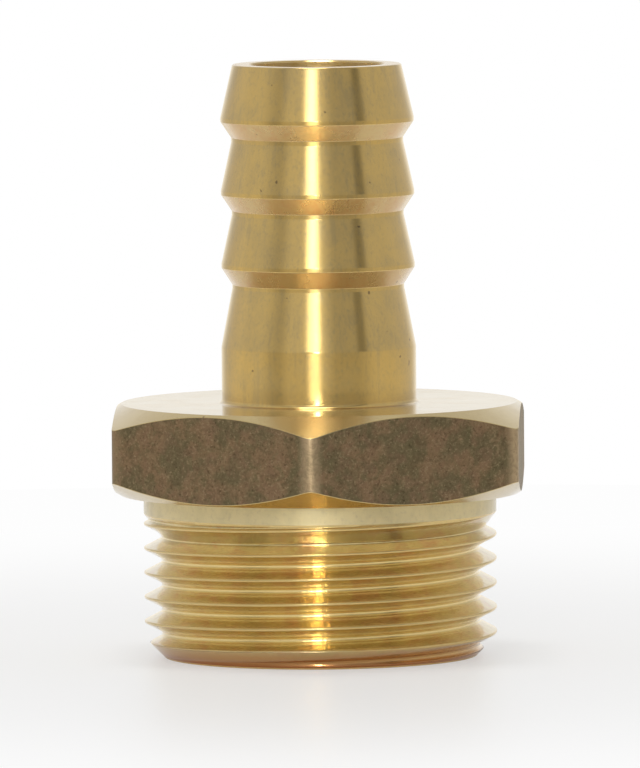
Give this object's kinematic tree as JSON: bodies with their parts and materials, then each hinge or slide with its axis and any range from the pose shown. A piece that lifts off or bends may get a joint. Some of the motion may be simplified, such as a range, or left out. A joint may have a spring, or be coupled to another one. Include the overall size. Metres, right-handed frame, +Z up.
{
  "type": "hose barb tail",
  "caption": "Straight brass hose tail: barbed stem for a hose at one end, spanner hexagon, parallel male pipe thread at the other, bored right through.",
  "frame": {"origin": "centre of the thread's end face, on which the fitting stands", "axes": "+Z up the axis to the tip of the hose stem, one hexagon corner towards -Y"},
  "size_m": [0.03, 0.0344, 0.044],
  "materials": {
    "brass": "turned bright on the stem and thread, matt as drawn on the hexagon's flats"
  },
  "bodies": {
    "root": {"hose_barb_tail": "brass"}
  },
  "joints": []
}
